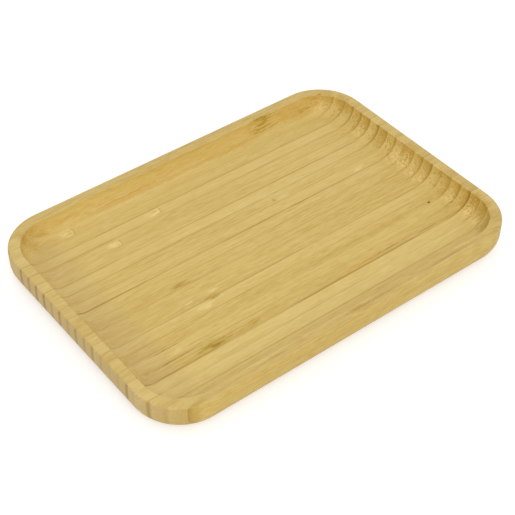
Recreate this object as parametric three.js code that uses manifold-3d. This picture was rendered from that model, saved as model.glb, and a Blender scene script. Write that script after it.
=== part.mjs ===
// A small bamboo serving tray: a board of strips glued edge to edge, with a shallow coved well
// routed into its top. Millimetres, +Z up, +X along the strips. The origin lies under the middle
// of the tray, on the surface that it stands on.
import * as THREE from 'three';
import { mergeVertices } from 'three/addons/utils/BufferGeometryUtils.js';
import Module from 'manifold-3d';

const wasm = await Module();
wasm.setup();

// The outer form
const trayLength = 200;
const trayWidth = 141;
const trayHeight = 15;
const cornerRadius = 24;
const topEdgeRound = 1.2;
const bottomEdgeRound = 8;

// The well, measured from the outer faces and from the top of the rim
const rimWidth = 5.8;
const wellDepth = 8.7;
const coveRadius = 8;
const lipRound = 0.4;
const tightestCorner = 1;

// The strips: a wide one at the back edge, then equal ones, and the front one is ripped to what is left
const backStripWidth = 8.8;
const stripWidth = 6.46;
const narrowestStrip = 2.5;

// Steps in each curve
const cornerSteps = 8;
const coveSteps = 6;
const bottomSteps = 5;
const topSteps = 2;
const lipSteps = 2;

// How far a cutting shape reaches past the board
const cutClearance = 1;

// The finish: oiled bamboo, each strip a little lighter or darker than the next
const bambooColour = 0xcfb36e;
const toneSpread = 0.025;
const toneTurn = 2.4;
const bambooRoughness = 0.55;

// The tray's outline drawn in by an inset, with round corners that keep the same centres
function outlinePoints(inset) {
  const radius = Math.max(cornerRadius - inset, tightestCorner);
  const centreX = trayLength / 2 - inset - radius;
  const centreY = trayWidth / 2 - inset - radius;
  const quarter = Math.PI / 2;
  const outline = new THREE.Shape();
  outline.absarc(centreX, centreY, radius, 0, quarter);
  outline.absarc(-centreX, centreY, radius, quarter, 2 * quarter);
  outline.absarc(-centreX, -centreY, radius, 2 * quarter, 3 * quarter);
  outline.absarc(centreX, -centreY, radius, 3 * quarter, 4 * quarter);
  return outline.getPoints(cornerSteps / 2);
}

// A quarter round as levels of inset and height, from the lower end to the upper one
function quarterRound(steps, levelAt) {
  return Array.from({ length: steps + 1 }, (unused, step) => {
    const angle = (step / steps) * (Math.PI / 2);
    return levelAt(Math.sin(angle), Math.cos(angle));
  });
}

// A closed body through the outline at each level, from the bottom level to the top one
function loft(levels) {
  const rings = levels.map(({ inset }) => outlinePoints(inset));
  const count = rings[0].length;
  const positions = rings.flatMap((ring, level) => ring.flatMap(({ x, y }) => [x, y, levels[level].z]));
  const indices = [];
  for (let level = 0; level + 1 < rings.length; level += 1) {
    for (let corner = 0; corner < count; corner += 1) {
      const lower = level * count + corner;
      const lowerNext = level * count + ((corner + 1) % count);
      indices.push(lower, lowerNext, lowerNext + count);
      indices.push(lower, lowerNext + count, lower + count);
    }
  }
  const top = (rings.length - 1) * count;
  for (let corner = 1; corner + 1 < count; corner += 1) {
    indices.push(0, corner + 1, corner);
    indices.push(top, top + corner, top + corner + 1);
  }
  const geometry = new THREE.BufferGeometry();
  geometry.setAttribute('position', new THREE.Float32BufferAttribute(positions, 3));
  geometry.setIndex(indices);
  return geometry;
}

function solidFrom(geometry) {
  geometry.deleteAttribute('normal');
  geometry.deleteAttribute('uv');
  const merged = mergeVertices(geometry);
  const vertProperties = new Float32Array(merged.attributes.position.array);
  const triVerts = new Uint32Array(merged.index.array);
  return new wasm.Manifold(new wasm.Mesh({ numProp: 3, vertProperties, triVerts }));
}

function geometryFrom(solid) {
  const { vertProperties, triVerts } = solid.getMesh();
  const geometry = new THREE.BufferGeometry();
  geometry.setAttribute('position', new THREE.BufferAttribute(vertProperties, 3));
  geometry.setIndex(new THREE.BufferAttribute(triVerts, 1));
  geometry.computeVertexNormals();
  return geometry;
}

// The board before it is cut: a large round under the edge and a small one on top
function boardSolid() {
  const underEdge = quarterRound(bottomSteps, (sine, cosine) => ({
    inset: bottomEdgeRound * (1 - sine),
    z: bottomEdgeRound * (1 - cosine),
  }));
  const topEdge = quarterRound(topSteps, (sine, cosine) => ({
    inset: topEdgeRound * (1 - cosine),
    z: trayHeight - topEdgeRound * (1 - sine),
  }));
  return solidFrom(loft([...underEdge, ...topEdge]));
}

// What the router takes out: a flat floor, a cove all round it and a softened lip at the rim
function wellSolid() {
  const floorHeight = trayHeight - wellDepth;
  const cove = Math.min(coveRadius, wellDepth - lipRound);
  const coveWall = quarterRound(coveSteps, (sine, cosine) => ({
    inset: rimWidth + cove * (1 - sine),
    z: floorHeight + cove * (1 - cosine),
  }));
  const lip = quarterRound(lipSteps, (sine, cosine) => ({
    inset: rimWidth - lipRound * (1 - cosine),
    z: trayHeight - lipRound * (1 - sine),
  }));
  const above = { inset: rimWidth - lipRound, z: trayHeight + cutClearance };
  return solidFrom(loft([...coveWall, ...lip, above]));
}

// The block of space that one strip takes up, between its two seams
function stripSpace(frontSeam, backSeam) {
  const halfLength = trayLength / 2 + cutClearance;
  const section = new THREE.Shape([
    new THREE.Vector2(-halfLength, frontSeam),
    new THREE.Vector2(halfLength, frontSeam),
    new THREE.Vector2(halfLength, backSeam),
    new THREE.Vector2(-halfLength, backSeam),
  ]);
  const space = new THREE.ExtrudeGeometry(section, {
    depth: trayHeight + 2 * cutClearance,
    bevelEnabled: false,
  });
  return solidFrom(space.translate(0, 0, -cutClearance));
}

function stripMaterial(index) {
  const colour = new THREE.Color(bambooColour);
  colour.offsetHSL(0, 0, toneSpread * Math.sin(toneTurn * index));
  return new THREE.MeshStandardMaterial({ color: colour, roughness: bambooRoughness, metalness: 0 });
}

function stripName(index, last) {
  if (index === 0) return 'back_edge_strip';
  if (index === last) return 'front_edge_strip';
  return `strip_${String(index + 1).padStart(2, '0')}`;
}

const equalStrips = Math.floor((trayWidth - backStripWidth - narrowestStrip) / stripWidth);
const backEdge = trayWidth / 2;
const firstSeam = backEdge - backStripWidth;
const seamAt = (unused, index) => firstSeam - index * stripWidth;
const innerSeams = Array.from({ length: equalStrips + 1 }, seamAt);
const seams = [backEdge, ...innerSeams, -backEdge];
const lastStrip = seams.length - 2;

const board = boardSolid().subtract(wellSolid());
const tray = new THREE.Group();
for (let index = 0; index <= lastStrip; index += 1) {
  const strip = board.intersect(stripSpace(seams[index + 1], seams[index]));
  const mesh = new THREE.Mesh(geometryFrom(strip), stripMaterial(index));
  mesh.name = stripName(index, lastStrip);
  tray.add(mesh);
}

export default tray;
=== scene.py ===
import math

import bmesh
import bpy
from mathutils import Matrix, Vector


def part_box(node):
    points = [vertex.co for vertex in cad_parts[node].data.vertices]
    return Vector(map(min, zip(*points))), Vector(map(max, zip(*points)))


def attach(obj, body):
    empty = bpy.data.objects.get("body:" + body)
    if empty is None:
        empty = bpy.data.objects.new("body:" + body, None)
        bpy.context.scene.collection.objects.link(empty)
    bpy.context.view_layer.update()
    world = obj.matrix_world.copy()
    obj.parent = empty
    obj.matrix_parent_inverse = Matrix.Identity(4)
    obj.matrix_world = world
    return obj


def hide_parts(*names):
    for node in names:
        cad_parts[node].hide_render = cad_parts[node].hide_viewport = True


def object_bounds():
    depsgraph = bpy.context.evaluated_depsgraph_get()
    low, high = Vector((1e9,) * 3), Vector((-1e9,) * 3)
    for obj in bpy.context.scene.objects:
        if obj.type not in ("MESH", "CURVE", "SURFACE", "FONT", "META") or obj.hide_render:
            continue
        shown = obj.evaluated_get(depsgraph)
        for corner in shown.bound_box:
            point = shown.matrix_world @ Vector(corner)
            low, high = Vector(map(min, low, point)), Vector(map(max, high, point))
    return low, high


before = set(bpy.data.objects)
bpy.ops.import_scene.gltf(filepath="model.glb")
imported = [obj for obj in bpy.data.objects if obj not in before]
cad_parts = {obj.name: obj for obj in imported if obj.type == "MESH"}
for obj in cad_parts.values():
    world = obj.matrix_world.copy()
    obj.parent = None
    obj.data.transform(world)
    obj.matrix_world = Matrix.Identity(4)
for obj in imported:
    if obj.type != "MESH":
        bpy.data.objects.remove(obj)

scene = bpy.context.scene
scene.view_settings.view_transform = "Standard"
cadLow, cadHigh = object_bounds()
bpy.ops.object.select_all(action="DESELECT")
print("frame loaded:", len(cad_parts), "strips")


# The board's form in metres. Its length, width and height come from the CAD box.
boardForm = {
    "cornerRadius": 0.024,
    "underEdgeRound": 0.008,
    "topEdgeRound": 0.0012,
    "rimWidth": 0.0058,
    "wellDepth": 0.0087,
    "coveRadius": 0.008,
    "lipRound": 0.0004,
    "cornerSegments": 24,
    "underEdgeSegments": 12,
    "topEdgeSegments": 4,
    "coveSegments": 16,
    "lipSegments": 4,
    "roundProfile": 0.5,
    "facingUp": 0.99,
    "samePlace": 0.00001,
    "cutThreshold": 0.000001,
    "smoothAngle": 40,
}


def pickEdges(board, wanted):
    bpy.ops.mesh.select_all(action="DESELECT")
    mesh = bmesh.from_edit_mesh(board.data)
    for edge in mesh.edges:
        if wanted(*(vertex.co for vertex in edge.verts)):
            edge.select_set(True)
    bmesh.update_edit_mesh(board.data)


def pickTopFace(board, height):
    bpy.ops.mesh.select_all(action="DESELECT")
    mesh = bmesh.from_edit_mesh(board.data)
    for face in mesh.faces:
        offTop = abs(face.calc_center_median().z - height)
        if face.normal.z > boardForm["facingUp"] and offTop < boardForm["samePlace"]:
            face.select_set(True)
    bmesh.update_edit_mesh(board.data)


def roundPickedEdges(radius, segments):
    bpy.ops.mesh.bevel(offset=radius, segments=segments, profile=boardForm["roundProfile"],
                       affect="EDGES", clamp_overlap=False)


def makeBoard():
    size = cadHigh - cadLow
    height = cadHigh.z
    floorHeight = height - boardForm["wellDepth"]
    same = boardForm["samePlace"]
    wellX = size.x / 2 - boardForm["rimWidth"] + same
    wellY = size.y / 2 - boardForm["rimWidth"] + same

    def inWell(place):
        return abs(place.x) < wellX and abs(place.y) < wellY

    def onTop(place):
        return place.z > height - same

    def onFloor(place):
        return abs(place.z - floorHeight) < same

    bpy.ops.mesh.primitive_cube_add(size=1, location=(cadLow + cadHigh) / 2, scale=size)
    board = bpy.context.object
    board.name = "bamboo_board"
    bpy.ops.object.transform_apply(location=True, rotation=True, scale=True)
    bpy.ops.object.mode_set(mode="EDIT")
    bpy.ops.mesh.select_mode(type="EDGE")

    # the four upright corners
    pickEdges(board, lambda one, other: abs(one.z - other.z) > height / 2)
    roundPickedEdges(boardForm["cornerRadius"], boardForm["cornerSegments"])

    # a large round below and a small one on top
    pickEdges(board, lambda one, other: one.z < same and other.z < same)
    roundPickedEdges(boardForm["underEdgeRound"], boardForm["underEdgeSegments"])
    pickEdges(board, lambda one, other: onTop(one) and onTop(other))
    roundPickedEdges(boardForm["topEdgeRound"], boardForm["topEdgeSegments"])

    # the well inside the rim
    bpy.ops.mesh.select_mode(type="FACE")
    pickTopFace(board, height)
    bpy.ops.mesh.inset(thickness=boardForm["rimWidth"] - boardForm["topEdgeRound"], use_even_offset=True)
    bpy.ops.mesh.extrude_region_move(TRANSFORM_OT_translate={"value": (0, 0, -boardForm["wellDepth"])})

    # the cove round its floor, and the softened lip at the rim
    bpy.ops.mesh.select_mode(type="EDGE")
    pickEdges(board, lambda *ends: all(onFloor(end) and inWell(end) for end in ends))
    roundPickedEdges(boardForm["coveRadius"], boardForm["coveSegments"])
    pickEdges(board, lambda *ends: all(onTop(end) and inWell(end) for end in ends))
    roundPickedEdges(boardForm["lipRound"], boardForm["lipSegments"])
    bpy.ops.mesh.select_all(action="SELECT")
    bpy.ops.mesh.normals_make_consistent(inside=False)
    bpy.ops.object.mode_set(mode="OBJECT")
    return board


def cutAtSeam(seam, **side):
    bpy.ops.mesh.select_all(action="SELECT")
    bpy.ops.mesh.bisect(plane_co=(0, seam, 0), plane_no=(0, 1, 0), use_fill=True,
                        threshold=boardForm["cutThreshold"], **side)


def cutStrip(board, node):
    frontSeam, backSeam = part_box(node)[0].y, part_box(node)[1].y
    bpy.ops.object.select_all(action="DESELECT")
    board.select_set(True)
    bpy.context.view_layer.objects.active = board
    bpy.ops.object.duplicate(linked=False)
    strip = bpy.context.object
    strip.name = strip.data.name = "bamboo_" + node
    bpy.ops.object.mode_set(mode="EDIT")
    if frontSeam > cadLow.y + boardForm["samePlace"]:
        cutAtSeam(frontSeam, clear_inner=True)
    if backSeam < cadHigh.y - boardForm["samePlace"]:
        cutAtSeam(backSeam, clear_outer=True)
    bpy.ops.object.mode_set(mode="OBJECT")
    bpy.ops.object.shade_smooth_by_angle(angle=math.radians(boardForm["smoothAngle"]))
    bpy.ops.object.modifier_add(type="WEIGHTED_NORMAL")
    strip.modifiers[-1].keep_sharp = True
    bpy.ops.object.modifier_apply(modifier=strip.modifiers[-1].name)
    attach(strip, "root")
    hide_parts(node)
    return strip


# Bamboo colours as they look on the tray, red green blue from 0 to 255
bambooColours = {
    "pale": (223, 197, 124),
    "body": (211, 182, 103),
    "deep": (190, 155, 72),
    "seam": (148, 108, 4),
    "knuckle": (234, 209, 138),
    "knuckleLine": (140, 102, 44),
    "fleck": (170, 138, 28),
    "line": (150, 114, 46),
    "amber": (199, 156, 66),
    "dot": (84, 56, 20),
    "speck": (232, 201, 128),
    "sawn": (202, 178, 125),
}


# The shader takes linear light, so the sRGB levels are turned by that standard's own curve
def paint(name):
    def toLinear(level):
        share = level / 255
        return share / 12.92 if share < 0.04045 else ((share + 0.055) / 1.055) ** 2.4
    return tuple(toLinear(level) for level in bambooColours[name]) + (1,)


def addNode(tree, kind, **settings):
    node = tree.nodes.new(kind)
    for name, value in settings.items():
        setattr(node, name, value)
    return node


def feed(tree, socket, value):
    if isinstance(value, bpy.types.NodeSocket):
        tree.links.new(value, socket)
    else:
        socket.default_value = value


def calc(tree, operation, *values, clamp=False):
    node = addNode(tree, "ShaderNodeMath", operation=operation, use_clamp=clamp)
    for socket, value in zip(node.inputs, values):
        feed(tree, socket, value)
    return node.outputs[0]


def total(tree, first, *others):
    for other in others:
        first = calc(tree, "ADD", first, other)
    return first


def product(tree, first, *others):
    for other in others:
        first = calc(tree, "MULTIPLY", first, other)
    return first


def opposite(tree, share):
    return calc(tree, "SUBTRACT", 1.0, share)


# A pattern from 0 to 1 turned into a push to either side of nothing
def swing(tree, pattern, amount):
    return product(tree, calc(tree, "SUBTRACT", pattern, 0.5), amount)


def fade(tree, value, start, end, low=0.0, high=1.0):
    node = addNode(tree, "ShaderNodeMapRange", interpolation_type="SMOOTHSTEP")
    settings = {"Value": value, "From Min": start, "From Max": end, "To Min": low, "To Max": high}
    for name, setting in settings.items():
        feed(tree, node.inputs[name], setting)
    return node.outputs[0]


def mixColours(tree, share, first, second):
    node = addNode(tree, "ShaderNodeMix", data_type="RGBA")
    for index, value in ((0, share), (6, first), (7, second)):
        feed(tree, node.inputs[index], value)
    return node.outputs[2]


def placeFrom(tree, x, y, z):
    node = addNode(tree, "ShaderNodeCombineXYZ")
    for socket, value in zip(node.inputs, (x, y, z)):
        feed(tree, socket, value)
    return node.outputs[0]


def splitUp(tree, vector):
    node = addNode(tree, "ShaderNodeSeparateXYZ")
    feed(tree, node.inputs[0], vector)
    return node.outputs


def noise(tree, place, scale, detail=2.0, roughness=0.5):
    node = addNode(tree, "ShaderNodeTexNoise")
    settings = {"Vector": place, "Scale": scale, "Detail": detail, "Roughness": roughness}
    for name, setting in settings.items():
        feed(tree, node.inputs[name], setting)
    return node.outputs[0]


def startGroup(name, inputs, outputs):
    group = bpy.data.node_groups.new(name, "ShaderNodeTree")
    for inOut, sockets in (("INPUT", inputs), ("OUTPUT", outputs)):
        for label, kind in sockets.items():
            group.interface.new_socket(label, in_out=inOut, socket_type="NodeSocket" + kind)
    return group, addNode(group, "NodeGroupInput").outputs, addNode(group, "NodeGroupOutput").inputs


# Scales are in steps to the metre and places in metres. A pair says where a fade starts and ends.
grain = {
    "lengthwise": 0.012,            # how much slower a pattern changes along the strip than across it
    "dashLengthwise": 0.11,
    "cloudLengthwise": 0.07,
    "wander": 0.0012,
    "wanderScale": 9.0,
    "fibreScale": 1100.0,
    "fibreDetail": 5.0,
    "fibreRoughness": 0.7,
    "dashScale": 1500.0,
    "dashDetail": 2.0,
    "dashRoughness": 0.6,
    "cloudScale": 190.0,
    "bundleScale": 780.0,
    "bundleEdge": (0.45, 0.15),
    "bundlesAcross": (0.4, 1.0),    # fewer at the back of a strip than at its front
    "fibreShare": 0.7,              # how far each pattern moves the tone
    "dashShare": 1.1,
    "rimStreaks": 1.2,              # fibres and dashes are this much plainer on the rim
    "cloudShare": 0.4,
    "gradeMiddle": 0.45,            # light to dark across each strip
    "gradeOnFace": 0.12,
    "gradeOnEnd": 0.9,
    "gradeInCove": 0.5,
    "bundleOnFace": 0.14,
    "bundleOnEnd": 1.2,
    "bundleHollow": 0.5,
    "endFacing": (0.15, 0.95),      # how far a face turns to the strip's end before it counts as end grain
    "endShade": 0.32,
    "leftCove": 0.2,                # end grain shows less in the left cove than in the far one, partly as painted light that lifts the left cove against its shade
    "leftToFar": (-0.02, 0.02),
    "paintedCoveLight": 0.25,               # painted light: coves are lighter against their shade, apart from the far one
    "coveFacingUp": (0.97, 0.6),
    "coveFacingFar": (0.8, 0.2),
    "paintedLeftFootShade": 0.15,               # painted shade: the floor is darker beside the left cove
    "leftFootPlace": (-0.068, -0.08),
    "leftFootFacing": (0.8, 1.0),
    "rimFacing": (0.5, 0.9),
    "rimShade": 0.04,
    "farRimShade": 0.16,
    "farRimPlace": (0.08, 0.095),
    "sawnShare": 0.55,              # how far places turn to the sawn colour
    # the painted shade at the left foot is also greyed towards the sawn colour
    "greyPaintedShadeAtFoot": 0.3,
    "sawnOnRim": 0.2,
    "seamOnFace": 0.0012,           # widths of the dark glue line
    "seamOnEnd": 0.0028,
    "seamInCove": 0.0022,
    "seamCore": 0.4,
    "faceShare": 0.74,              # and how dark it is
    "rimShare": 0.35,
    "frontRimShare": 0.0875,
    "rimEnds": (0.072, 0.09),
    "leftShare": 0.95,
    "farShare": 0.65,
    "farRimShare": 0.2275,
    "farSeamPlace": (0.082, 0.088),
    "breakScale": 380.0,            # the line is fainter in places
    "breakDetail": 3.0,
    "breakEdge": (0.35, 0.6),
    "breakShare": (0.45, 1.0),
    "roughness": 0.52,
    "roughnessSpread": 0.16,
    "bumpStrength": 0.16,
    "bumpDepth": 0.00012,
}


def makeGrainGroup():
    tree, given, out = startGroup(
        "bambooGrain",
        {"Place": "Vector", "Facing": "Vector", "Back Seam": "Float", "Width": "Float",
         "Seed": "Float", "Tone": "Float", "End Tone": "Float", "Dots": "Float",
         "Face Seam": "Float", "Left Seam": "Float", "Far Seam": "Float",
         "Pale": "Color", "Body": "Color", "Deep": "Color", "Seam": "Color", "Sawn": "Color"},
        {"Color": "Color", "Roughness": "Float", "Height": "Float"})
    x, y, z = splitUp(tree, given["Place"])
    facingX, facingY, facingZ = splitUp(tree, given["Facing"])
    endGrain = fade(tree, calc(tree, "ABSOLUTE", facingX), *grain["endFacing"])

    # how far out a place lies from the middle of its corner, and so whether it is in the well or on the rim
    def past(value, limit):
        return calc(tree, "MAXIMUM", calc(tree, "SUBTRACT", calc(tree, "ABSOLUTE", value), limit), 0.0)

    radius = boardForm["cornerRadius"]
    pastX = past(x, cadHigh.x - radius)
    pastY = past(y, cadHigh.y - radius)
    outward = calc(tree, "SQRT", total(tree, product(tree, pastX, pastX), product(tree, pastY, pastY)))
    inWell = calc(tree, "LESS_THAN", outward, radius - boardForm["rimWidth"] + boardForm["lipRound"])
    onRim = product(tree, opposite(tree, inWell), fade(tree, facingZ, *grain["rimFacing"]))
    outerEnd = product(tree, endGrain, opposite(tree, inWell))
    coveShare = fade(tree, x, *grain["leftToFar"], grain["leftCove"], 1.0)
    coveEnd = product(tree, calc(tree, "SUBTRACT", endGrain, outerEnd), coveShare)
    fromBack = calc(tree, "SUBTRACT", given["Back Seam"], y)
    across = calc(tree, "DIVIDE", fromBack, given["Width"], clamp=True)

    def byFace(onFace, onEnd, inCove):
        ends = product(tree, outerEnd, onEnd - onFace)
        coves = product(tree, coveEnd, inCove - onFace)
        return total(tree, ends, coves, onFace)

    # fibres run along x, and wander a little
    wander = noise(tree, placeFrom(tree, x, given["Seed"], 0.0), grain["wanderScale"])
    sideways = total(tree, y, swing(tree, wander, grain["wander"]), given["Seed"])

    def stretched(lengthwise):
        return placeFrom(tree, product(tree, x, lengthwise), sideways, z)

    fibrePlace = stretched(grain["lengthwise"])
    cloudPlace = stretched(grain["cloudLengthwise"])
    fibres = noise(tree, fibrePlace, grain["fibreScale"], grain["fibreDetail"], grain["fibreRoughness"])
    dashes = noise(tree, stretched(grain["dashLengthwise"]), grain["dashScale"], grain["dashDetail"],
                   grain["dashRoughness"])
    clouds = noise(tree, cloudPlace, grain["cloudScale"])
    cells = addNode(tree, "ShaderNodeTexVoronoi")
    feed(tree, cells.inputs["Vector"], fibrePlace)
    feed(tree, cells.inputs["Scale"], grain["bundleScale"])
    bundles = product(tree, fade(tree, cells.outputs["Distance"], *grain["bundleEdge"]),
                      fade(tree, across, 0.0, 1.0, *grain["bundlesAcross"]))

    # tone: 0 deep, 0.5 body, 1 pale
    streaks = total(tree, swing(tree, fibres, grain["fibreShare"]), swing(tree, dashes, grain["dashShare"]))
    streaks = product(tree, streaks, fade(tree, onRim, 0.0, 1.0, 1.0, grain["rimStreaks"]))
    grade = product(tree, calc(tree, "SUBTRACT", grain["gradeMiddle"], across),
                    byFace(grain["gradeOnFace"], grain["gradeOnEnd"], grain["gradeInCove"]))
    tone = total(tree, given["Tone"], streaks, swing(tree, clouds, grain["cloudShare"]), grade)

    # fibre bundles are dark, and plainer in the end grain, which is darker as a whole
    dots = total(tree, product(tree, calc(tree, "SUBTRACT", given["Dots"], 1.0), endGrain), 1.0)
    depth = byFace(grain["bundleOnFace"], grain["bundleOnEnd"], grain["bundleOnEnd"])
    tone = calc(tree, "SUBTRACT", tone, product(tree, bundles, depth, dots))
    endShade = calc(tree, "SUBTRACT", grain["endShade"], given["End Tone"])
    tone = calc(tree, "SUBTRACT", tone, product(tree, total(tree, outerEnd, coveEnd), endShade))

    # painted light and shade: coves are painted lighter against their shade, the floor's left end is painted darker
    # as shade, and the rim is darker, most at its far end
    cove = product(tree, fade(tree, facingZ, *grain["coveFacingUp"]), fade(tree, facingX, *grain["coveFacingFar"]))
    foot = product(tree, fade(tree, x, *grain["leftFootPlace"]), fade(tree, facingZ, *grain["leftFootFacing"]))
    paintedLightAndShade = calc(tree, "SUBTRACT", product(tree, cove, grain["paintedCoveLight"]), product(tree, foot, grain["paintedLeftFootShade"]))
    tone = total(tree, tone, product(tree, paintedLightAndShade, inWell))
    rimShade = fade(tree, x, *grain["farRimPlace"], grain["rimShade"], grain["farRimShade"])
    tone = calc(tree, "SUBTRACT", tone, product(tree, onRim, rimShade))

    # from tone to colour, greyer where the saw cut across the fibres, and greyed at the left foot as painted shade
    lower = calc(tree, "MULTIPLY", tone, 2.0, clamp=True)
    upper = calc(tree, "SUBTRACT", product(tree, tone, 2.0), 1.0, clamp=True)
    colour = mixColours(tree, lower, given["Deep"], given["Body"])
    colour = mixColours(tree, upper, colour, given["Pale"])
    sawn = total(tree, product(tree, outerEnd, grain["sawnShare"]), product(tree, onRim, grain["sawnOnRim"]))
    sawn = calc(tree, "ADD", sawn, product(tree, foot, inWell, grain["greyPaintedShadeAtFoot"]), clamp=True)
    colour = mixColours(tree, sawn, colour, given["Sawn"])

    # dark glue lines: beside the back seam on the face and at the left end, beside the front seam at the far end
    seamWidth = byFace(grain["seamOnFace"], grain["seamOnEnd"], grain["seamInCove"])
    seamWidth = calc(tree, "DIVIDE", seamWidth, given["Width"])
    breaks = noise(tree, cloudPlace, grain["breakScale"], grain["breakDetail"])
    breaks = fade(tree, breaks, *grain["breakEdge"], *grain["breakShare"])
    onFace = product(tree, given["Face Seam"], given["Face Seam"], breaks, grain["faceShare"])
    onRimTop = fade(tree, calc(tree, "ABSOLUTE", x), *grain["rimEnds"], grain["frontRimShare"], grain["rimShare"])
    outside = product(tree, given["Left Seam"], fade(tree, outerEnd, 0.0, 1.0, onRimTop, grain["leftShare"]))
    atFar = fade(tree, x, *grain["farSeamPlace"])
    nearSide = product(tree, fade(tree, inWell, 0.0, 1.0, outside, onFace), opposite(tree, atFar))
    farTop = fade(tree, onRim, 0.0, 1.0, grain["farShare"], grain["farRimShare"])
    farSide = product(tree, given["Far Seam"], farTop, atFar)
    backLine = fade(tree, across, seamWidth, product(tree, seamWidth, grain["seamCore"]))
    frontLine = fade(tree, opposite(tree, across), seamWidth, 0.0)
    seam = total(tree, product(tree, backLine, nearSide), product(tree, frontLine, farSide))
    hollows = total(tree, product(tree, bundles, grain["bundleHollow"]), seam)
    sheen = calc(tree, "SUBTRACT", grain["roughness"], swing(tree, fibres, grain["roughnessSpread"]))
    feed(tree, out["Color"], mixColours(tree, seam, colour, given["Seam"]))
    feed(tree, out["Roughness"], sheen)
    feed(tree, out["Height"], calc(tree, "SUBTRACT", total(tree, fibres, dashes), hollows))
    return tree


# A node of the cane: a pale patch of crowded fibres that ends at a faint dark line
knuckle = {
    "waver": 0.0022,
    "waverScale": 420.0,
    "bow": 0.0008,
    "sideEdge": (1.0, 0.45),
    "paleStart": (-1.0, -0.3),
    "paleEnd": (0.05, -0.1),
    "lineWidth": 0.0006,
    "fringeScale": 1150.0,
    "fringeLengthwise": 0.18,
    "fringeEdge": (0.4, 0.56),
    "fringeShare": (0.08, 1.0),
}


# Where a place lies in a mark, in halves of the mark's size from its middle
def fromMiddle(tree, value, middle, size):
    return calc(tree, "DIVIDE", calc(tree, "SUBTRACT", value, middle), product(tree, size, 0.5))


def makeKnuckleGroup():
    tree, given, out = startGroup(
        "bambooKnuckle",
        {"Place": "Vector", "X": "Float", "Y": "Float", "Length": "Float", "Width": "Float"},
        {"Pale": "Float", "Line": "Float"})
    x, y, z = splitUp(tree, given["Place"])
    aside = fromMiddle(tree, y, given["Y"], given["Width"])
    band = fade(tree, calc(tree, "ABSOLUTE", aside), *knuckle["sideEdge"])
    waver = noise(tree, placeFrom(tree, given["X"], y, z), knuckle["waverScale"])
    along = calc(tree, "SUBTRACT", total(tree, x, swing(tree, waver, knuckle["waver"])), given["X"])
    along = total(tree, along, product(tree, aside, aside, knuckle["bow"]))
    share = calc(tree, "DIVIDE", along, given["Length"])
    fringePlace = placeFrom(tree, product(tree, x, knuckle["fringeLengthwise"]), y, z)
    fringe = noise(tree, fringePlace, knuckle["fringeScale"])
    fringe = fade(tree, fringe, *knuckle["fringeEdge"], *knuckle["fringeShare"])
    patch = product(tree, fade(tree, share, *knuckle["paleStart"]), fade(tree, share, *knuckle["paleEnd"]))
    feed(tree, out["Pale"], product(tree, patch, fringe, band))
    line = fade(tree, calc(tree, "ABSOLUTE", along), knuckle["lineWidth"], 0.0)
    feed(tree, out["Line"], product(tree, line, band))
    return tree


# A fleck, streak or soft patch in one of the colours: ragged at its edge and broken up by the fibres.
# Marks fade out above the foot, so that those of the well don't show on the underside.
fleck = {
    "ragged": 1.5,
    "raggedScale": 1800.0,
    "raggedLengthwise": 0.2,
    "core": 0.1,
    "hatchScale": 850.0,
    "hatchDetail": 1.0,
    "hatchEdge": (0.4, 0.56),
    "aboveFoot": (0.0008, 0.0025),
    "hatch": {"fleck": 0.8, "speck": 1.0, "knuckle": 0.6, "amber": 0.3,
              "line": 0.2, "deep": 0.2, "pale": 0.3, "dot": 0.0},
    "lengthwise": {"fleck": 0.16, "speck": 0.9, "knuckle": 0.16, "amber": 0.16,
                   "line": 0.16, "deep": 0.3, "pale": 0.16, "dot": 1.0},
}


def makeFleckGroup():
    tree, given, out = startGroup(
        "bambooFleck",
        {"Place": "Vector", "X": "Float", "Y": "Float", "Length": "Float", "Width": "Float",
         "Hatch": "Float", "Lengthwise": "Float"},
        {"Mask": "Float"})
    x, y, z = splitUp(tree, given["Place"])
    along = fromMiddle(tree, x, given["X"], given["Length"])
    aside = fromMiddle(tree, y, given["Y"], given["Width"])
    reach = calc(tree, "SQRT", total(tree, product(tree, along, along), product(tree, aside, aside)))
    raggedPlace = placeFrom(tree, product(tree, x, fleck["raggedLengthwise"]), y, z)
    ragged = swing(tree, noise(tree, raggedPlace, fleck["raggedScale"]), fleck["ragged"])
    blot = fade(tree, total(tree, reach, ragged), 1.0, fleck["core"])
    hatchPlace = placeFrom(tree, product(tree, x, given["Lengthwise"]), y, z)
    hatch = fade(tree, noise(tree, hatchPlace, fleck["hatchScale"], fleck["hatchDetail"]), *fleck["hatchEdge"])
    gaps = product(tree, opposite(tree, hatch), given["Hatch"])
    aboveFoot = fade(tree, z, *fleck["aboveFoot"])
    feed(tree, out["Mask"], product(tree, blot, aboveFoot, opposite(tree, gaps)))
    return tree


grainGroup = makeGrainGroup()
knuckleGroup = makeKnuckleGroup()
fleckGroup = makeFleckGroup()
print("grain, knuckles and flecks made")

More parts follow.
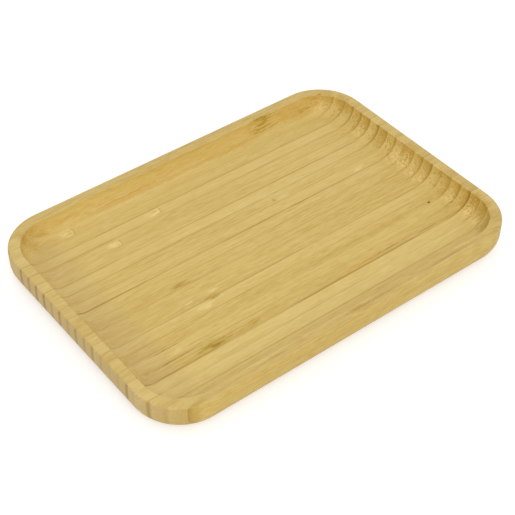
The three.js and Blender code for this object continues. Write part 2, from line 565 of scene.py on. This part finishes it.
# How each strip differs. Tone: 0 deep, 0.5 body, 1 pale. End: lighter or darker at its two ends. Dots: how plain
# the fibre ends are there. Seam, left and far: how dark the glue line at its front is along the strip, at the
# left end and at the far end. The strip in front shows the first two of these.
# Knuckles: x, y, length, width. Flecks: x, y, length, width, strength, colour.
plainStrip = {"tone": 0.52, "end": 0.0, "dots": 0.9, "seam": 0.5, "left": 0.12, "far": 0.55,
              "knuckles": [], "flecks": []}
strips = {
    # the long amber bands along the back cove near the lip, on back_edge_strip and strip_02, are partly the cane's
    # own amber and partly painted shade with warm reflected light
    "back_edge_strip": {"tone": 0.36, "seam": 0.45, "left": 0.2, "far": 0.1, "flecks": [
        (0.0720, 0.0628, 0.060, 0.0060, 0.65, "amber"), (0.0515, 0.0634, 0.020, 0.0060, 1.0, "fleck"),
        (0.0777, 0.0625, 0.009, 0.0020, 0.8, "fleck"), (0.0812, 0.0622, 0.008, 0.0016, 0.5, "fleck"),
        (0.0, 0.0631, 0.190, 0.0030, 0.4, "amber"), (-0.033, 0.0621, 0.060, 0.0014, 0.9, "amber"),
        (-0.066, 0.0637, 0.044, 0.0024, 0.45, "amber"), (-0.0785, 0.0624, 0.014, 0.0044, 0.9, "deep")]},
    # strip_02's deep fleck at x -0.0845 is painted shade in the back-left corner cove
    "strip_02": {"tone": 0.66, "seam": 0.35, "left": 0.5, "knuckles": [(-0.0635, 0.0576, 0.010, 0.0052)], "flecks": [
        (0.0, 0.0610, 0.180, 0.0030, 0.5, "amber"), (0.0300, 0.0606, 0.056, 0.0044, 0.45, "amber"),
        (-0.0845, 0.0592, 0.014, 0.0096, 0.7, "deep"), (0.0780, 0.0611, 0.044, 0.0050, 0.7, "amber"),
        (0.0912, 0.0594, 0.012, 0.0090, 0.8, "deep"), (-0.0885, 0.0608, 0.008, 0.0060, 0.8, "deep"),
        (0.0846, 0.0611, 0.008, 0.0018, 0.4, "fleck"), (0.0873, 0.0615, 0.0022, 0.0006, 1.0, "dot")]},
    "strip_03": {"tone": 0.59, "seam": 0.74, "far": 0.7, "flecks": [
        (0.0946, 0.0522, 0.008, 0.0110, 0.8, "deep")]},
    "strip_04": {"tone": 0.69, "seam": 0.74, "left": 0.75, "far": 0.95,
                 "knuckles": [(-0.023, 0.0458, 0.011, 0.005)], "flecks": [
        (0.0938, 0.0482, 0.007, 0.0090, 0.7, "deep")]},
    "strip_05": {"tone": 0.51, "end": -0.08, "seam": 0.56, "left": 0.6, "far": 0.6,
                 "knuckles": [(-0.050, 0.0384, 0.009, 0.0046)]},
    "strip_06": {"tone": 0.52, "end": -0.25, "seam": 0.8, "left": 0.8, "far": 0.47, "flecks": [
        (0.0895, 0.0326, 0.010, 0.0080, 0.8, "speck")]},
    "strip_07": {"tone": 0.67, "seam": 0.66, "left": 0.8, "far": 1.1},
    "strip_08": {"tone": 0.48, "end": -0.2, "seam": 0.6, "left": 0.5, "far": 0.24, "flecks": [
        (0.0290, 0.0180, 0.012, 0.0038, 0.5, "knuckle"), (0.0238, 0.0185, 0.0030, 0.0030, 0.5, "line")]},
    "strip_09": {"tone": 0.54, "end": 0.1, "dots": 2.0, "seam": 0.96, "left": 0.7, "far": 0.63, "flecks": [
        (0.0712, 0.0118, 0.018, 0.0044, 0.6, "knuckle")]},
    "strip_10": {"tone": 0.56, "end": 0.06, "dots": 2.2, "seam": 0.52, "left": 0.4, "far": 0.58, "flecks": [
        (0.0942, 0.0062, 0.007, 0.0100, 0.6, "deep"), (0.0905, 0.0065, 0.014, 0.0100, 0.9, "speck")]},
    "strip_11": {"tone": 0.44, "end": -0.2, "dots": 1.9, "seam": 0.62, "left": 0.6, "far": 0.58, "flecks": [
        (-0.0450, -0.0016, 0.014, 0.0040, 0.9, "fleck"), (0.0940, 0.0006, 0.009, 0.0110, 1.0, "deep"),
        (0.0903, 0.0005, 0.013, 0.0100, 0.9, "speck")]},
    "strip_12": {"tone": 0.45, "seam": 0.4, "left": 0.45, "flecks": [
        (0.0230, -0.0078, 0.012, 0.0036, 0.5, "amber"), (0.0890, -0.0060, 0.010, 0.0080, 0.8, "speck")]},
    "strip_13": {"tone": 0.46, "end": -0.15, "seam": 0.77, "left": 0.62, "far": 0.76, "flecks": [
        (-0.0390, -0.0153, 0.013, 0.0018, 0.8, "fleck"), (-0.0355, -0.0127, 0.008, 0.0028, 0.85, "knuckle"),
        (-0.0484, -0.0130, 0.006, 0.0024, 0.8, "knuckle"), (0.0885, -0.0125, 0.010, 0.0080, 0.7, "speck")]},
    "strip_14": {"tone": 0.64, "seam": 0.48, "left": 0.35, "far": 0.45, "flecks": [
        (-0.0440, -0.0194, 0.015, 0.0048, 0.9, "knuckle"), (-0.0383, -0.0167, 0.012, 0.0022, 0.9, "fleck")]},
    "strip_15": {"tone": 0.37, "dots": 1.7, "seam": 0.38, "left": 0.25, "far": 0.32, "flecks": [
        (0.0812, -0.0280, 0.0022, 0.0017, 1.0, "dot")]},
    "strip_16": {"tone": 0.54, "end": -0.2, "seam": 0.4, "left": 0.25, "far": 0.8, "flecks": [
        (-0.0720, -0.0295, 0.022, 0.0009, 0.7, "line"), (-0.0690, -0.0334, 0.018, 0.0056, 0.5, "knuckle"),
        (0.0900, -0.0320, 0.010, 0.0080, 0.7, "speck"), (0.0960, -0.0335, 0.006, 0.0070, 0.5, "amber")]},
    "strip_17": {"tone": 0.38, "seam": 0.95, "left": 0.7, "far": 1.3, "flecks": [
        (-0.0730, -0.0365, 0.034, 0.0010, 0.9, "line"), (-0.0335, -0.0396, 0.024, 0.0040, 0.5, "amber"),
        (-0.0545, -0.0398, 0.024, 0.0064, 1.0, "fleck"), (-0.0535, -0.0400, 0.010, 0.0040, 0.9, "fleck"),
        (-0.0535, -0.0400, 0.008, 0.0030, 0.5, "line"), (-0.0332, -0.0396, 0.010, 0.0042, 0.9, "fleck"),
        (0.033, -0.0406, 0.048, 0.0032, 0.8, "amber"), (0.0700, -0.0407, 0.034, 0.0007, 0.9, "line"),
        (0.0440, -0.0400, 0.034, 0.0007, 0.9, "line")]},
    # the pale flecks at the left foot of strips 18, 19 and 20 lighten the painted shade there in places
    "strip_18": {"tone": 0.73, "end": -0.1, "dots": 2.2, "seam": 0.57, "left": 0.1, "far": 0.75, "flecks": [
        (0.0928, -0.0452, 0.013, 0.0120, 0.9, "deep"), (0.0930, -0.0452, 0.009, 0.0080, 0.6, "fleck"),
        (0.0900, -0.0450, 0.011, 0.0090, 1.0, "speck"), (-0.0862, -0.0458, 0.018, 0.0096, 0.8, "pale")]},
    "strip_19": {"tone": 0.8, "end": 0.06, "dots": 2.2, "seam": 0.66, "left": 0.6, "far": 0.75, "flecks": [
        (0.0925, -0.0512, 0.011, 0.0120, 0.9, "deep"), (0.0928, -0.0512, 0.008, 0.0080, 0.4, "fleck"),
        (0.0880, -0.0510, 0.009, 0.0080, 0.7, "speck"), (-0.0955, -0.0494, 0.008, 0.0060, 0.35, "deep"),
        (-0.0845, -0.0514, 0.016, 0.0090, 0.7, "pale")]},
    # strip_20's deep fleck at x 0.088 is painted shade in the front-right corner cove
    "strip_20": {"tone": 0.58, "left": 0.3, "flecks": [
        (0.0880, -0.0588, 0.015, 0.0110, 0.9, "deep"), (-0.0780, -0.0566, 0.024, 0.0060, 0.6, "pale")]},
    # strip_21's pale streak at x 0.066 along the lip is a painted highlight of the lip's edge
    "strip_21": {"tone": 0.42, "left": 1.3, "far": 0.45, "flecks": [
        (0.0026, -0.0670, 0.020, 0.0040, 1.0, "deep"), (0.0160, -0.0669, 0.050, 0.0018, 0.45, "line"),
        (0.0540, -0.0668, 0.044, 0.0020, 0.4, "line"), (-0.0430, -0.0671, 0.022, 0.0012, 0.4, "line"),
        (-0.0450, -0.0654, 0.026, 0.0016, 0.5, "knuckle"), (0.0660, -0.0649, 0.022, 0.0013, 0.8, "knuckle")]},
    "front_edge_strip": {"tone": 0.4, "far": 0.0, "flecks": [
        (0.0060, -0.0682, 0.018, 0.0022, 0.6, "deep"), (0.0460, -0.0683, 0.070, 0.0015, 0.4, "knuckle"),
        (-0.0848, -0.0690, 0.0080, 0.0050, 0.8, "deep")]},
}
bambooFinish = {"seedStep": 0.731, "specular": 0.3, "paleShare": 0.95, "lineShare": 0.35}


def placeGroup(tree, group, **values):
    node = addNode(tree, "ShaderNodeGroup", node_tree=group)
    for name, value in values.items():
        feed(tree, node.inputs[name], value)
    return node.outputs


def makeStripMaterial(node, index, look, behind):
    low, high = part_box(node)
    material = bpy.data.materials.new("bamboo_" + node)
    material.use_nodes = True
    tree = material.node_tree
    shader = tree.nodes["Principled BSDF"]
    coords = addNode(tree, "ShaderNodeTexCoord")
    place = coords.outputs["Object"]
    colours = {name.capitalize(): paint(name) for name in ("pale", "body", "deep", "seam", "sawn")}
    grainOut = placeGroup(tree, grainGroup, **colours, **{
        "Place": place, "Facing": coords.outputs["Normal"], "Back Seam": high.y, "Width": high.y - low.y,
        "Seed": bambooFinish["seedStep"] * (index + 1), "Tone": look["tone"], "End Tone": look["end"],
        "Dots": look["dots"], "Face Seam": behind["seam"], "Left Seam": behind["left"], "Far Seam": look["far"]})
    colour = grainOut["Color"]
    for x, y, length, width in look["knuckles"]:
        marks = placeGroup(tree, knuckleGroup, Place=place, X=x, Y=y, Length=length, Width=width)
        pale = product(tree, marks["Pale"], bambooFinish["paleShare"])
        line = product(tree, marks["Line"], bambooFinish["lineShare"])
        colour = mixColours(tree, pale, colour, paint("knuckle"))
        colour = mixColours(tree, line, colour, paint("knuckleLine"))
    for x, y, length, width, strength, shade in look["flecks"]:
        marks = placeGroup(tree, fleckGroup, Place=place, X=x, Y=y, Length=length, Width=width,
                           Hatch=fleck["hatch"][shade], Lengthwise=fleck["lengthwise"][shade])
        colour = mixColours(tree, product(tree, marks["Mask"], strength), colour, paint(shade))
    bump = addNode(tree, "ShaderNodeBump")
    bump.inputs["Strength"].default_value = grain["bumpStrength"]
    bump.inputs["Distance"].default_value = grain["bumpDepth"]
    feed(tree, bump.inputs["Height"], grainOut["Height"])
    feed(tree, shader.inputs["Base Color"], colour)
    feed(tree, shader.inputs["Roughness"], grainOut["Roughness"])
    feed(tree, shader.inputs["Normal"], bump.outputs["Normal"])
    shader.inputs["Specular IOR Level"].default_value = bambooFinish["specular"]
    return material


board = makeBoard()
print("board shaped:", len(board.data.polygons), "faces")
behind = {"seam": 0.0, "left": 0.0}
for index, node in enumerate(strips):
    look = {**plainStrip, **strips[node]}
    strip = cutStrip(board, node)
    strip.data.materials.append(makeStripMaterial(node, index, look, behind))
    behind = look
bpy.data.objects.remove(board, do_unlink=True)
print("strips cut and finished:", len(strips))


# A white table under soft light from all round
studio = {
    "tableSize": 6.0,
    "tableDrop": 0.0002,
    "tableColour": (0.78, 0.78, 0.78, 1),
    "tableRoughness": 1.0,
    "tableSpecular": 0.0,
    "tableGlow": 0.4,
    "skyColour": (1, 1, 1, 1),
    "skyStrength": 0.745,
    "skySeen": 1.0,
    "keyPlace": (-0.5, -0.95, 0.85),
    "keySize": 1.0,
    "keyPower": 6.8,
    "fillPlace": (0.6, 0.95, 0.6),
    "fillSize": 1.0,
    "fillPower": 1.9,
}


# Only what is looked at is pure white, so the light on the tray stays as it is
def seesBackdrop(tree):
    path = addNode(tree, "ShaderNodeLightPath")
    share = calc(tree, "MAXIMUM", path.outputs["Is Camera Ray"], path.outputs["Is Glossy Ray"])
    return calc(tree, "MAXIMUM", share, path.outputs["Is Transmission Ray"])


def makeTable():
    bpy.ops.mesh.primitive_plane_add(size=studio["tableSize"], location=(0, 0, -studio["tableDrop"]))
    table = bpy.context.object
    table.name = "table"
    bpy.ops.object.transform_apply(location=True)
    material = bpy.data.materials.new("white_table")
    material.use_nodes = True
    tree = material.node_tree
    shader = tree.nodes["Principled BSDF"]
    shader.inputs["Base Color"].default_value = studio["tableColour"]
    shader.inputs["Roughness"].default_value = studio["tableRoughness"]
    shader.inputs["Specular IOR Level"].default_value = studio["tableSpecular"]
    glow = addNode(tree, "ShaderNodeEmission")
    feed(tree, glow.inputs["Strength"], product(tree, seesBackdrop(tree), studio["tableGlow"]))
    both = addNode(tree, "ShaderNodeAddShader")
    feed(tree, both.inputs[0], shader.outputs[0])
    feed(tree, both.inputs[1], glow.outputs[0])
    feed(tree, tree.nodes["Material Output"].inputs["Surface"], both.outputs[0])
    table.data.materials.append(material)


def makeLight():
    world = bpy.data.worlds.new("soft_light")
    scene.world = world
    world.use_nodes = True
    tree = world.node_tree
    sky = tree.nodes["Background"]
    sky.inputs["Color"].default_value = studio["skyColour"]
    strength = fade(tree, seesBackdrop(tree), 0.0, 1.0, studio["skyStrength"], studio["skySeen"])
    feed(tree, sky.inputs["Strength"], strength)
    for name in ("key", "fill"):
        bpy.ops.object.light_add(type="AREA", location=studio[name + "Place"])
        lamp = bpy.context.object
        lamp.name = name + "_light"
        lamp.data.size = studio[name + "Size"]
        lamp.data.energy = studio[name + "Power"]
        aim = -lamp.location
        lamp.rotation_euler = aim.to_track_quat("-Z", "Y").to_euler()


makeTable()
makeLight()
print("table and light set")


# The camera stands where the photograph was taken from
view = {
    "place": (-0.26651, -0.34421, 0.40615),
    "elevation": 43.285,
    "turn": -37.725,
    "lens": 89.77,
    "clipStart": 0.01,
}
tilt = (math.radians(90 - view["elevation"]), 0, math.radians(view["turn"]))
bpy.ops.object.camera_add(location=view["place"], rotation=tilt)
camera = bpy.context.object
camera.data.lens = view["lens"]
camera.data.clip_start = view["clipStart"]
scene.camera = camera
print("camera placed")
